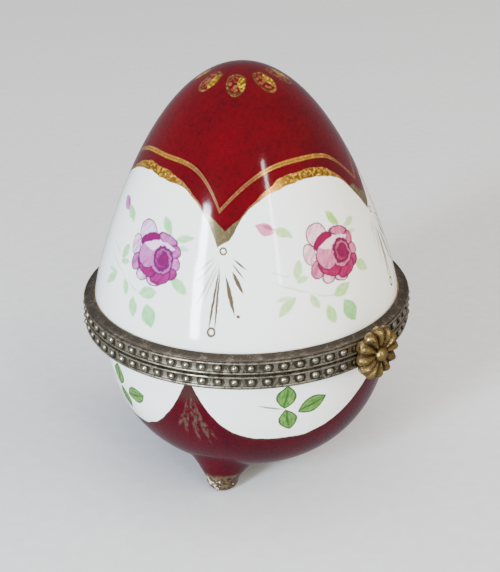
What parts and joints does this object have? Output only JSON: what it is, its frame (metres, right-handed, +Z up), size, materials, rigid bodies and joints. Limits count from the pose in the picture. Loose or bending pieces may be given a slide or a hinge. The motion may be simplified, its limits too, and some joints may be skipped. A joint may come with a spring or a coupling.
{
  "type": "porcelain trinket box",
  "caption": "Egg-shaped footed trinket box of painted porcelain, with beaded brass rims, a rear hinge and a flower clasp.",
  "frame": {"origin": "on the egg's axis, at the level the feet stand on", "axes": "+Z up along the egg's axis, -Y towards the clasp, +Y towards the hinge, +X along the hinge pin, to the right for someone who faces the clasp"},
  "size_m": [0.0552, 0.0614, 0.07],
  "materials": {
    "porcelain": "gloss glaze, painted and gilded",
    "brass": "antiqued, satin",
    "cement": "matt"
  },
  "bodies": {
    "base": {"base_shell": "porcelain", "base_cement": "cement", "base_rim": "brass", "base_bead_strip": "brass", "clasp_catch": "brass", "base_hinge_leaf": "brass", "hinge_pin": "brass"},
    "lid": {"lid_shell": "porcelain", "lid_cement": "cement", "lid_rim": "brass", "lid_bead_strip": "brass", "clasp_pad": "brass", "lid_hinge_leaf": "brass"},
    "clasp": {"clasp_tongue": "brass", "clasp_flower": "brass", "clasp_rivet": "brass"}
  },
  "joints": [
    {"name": "lid_hinge", "type": "hinge", "parent": "base", "child": "lid", "pos_m": [0, 0.029, 0.0294], "axis": [-1, 0, 0], "range_deg": [0, 100]},
    {"name": "clasp_flex", "type": "hinge", "parent": "lid", "child": "clasp", "pos_m": [0, -0.02792, 0.03155], "axis": [-1, 0, 0], "range_deg": [0, 6], "stiffness_Nm_per_rad": 0.02}
  ]
}
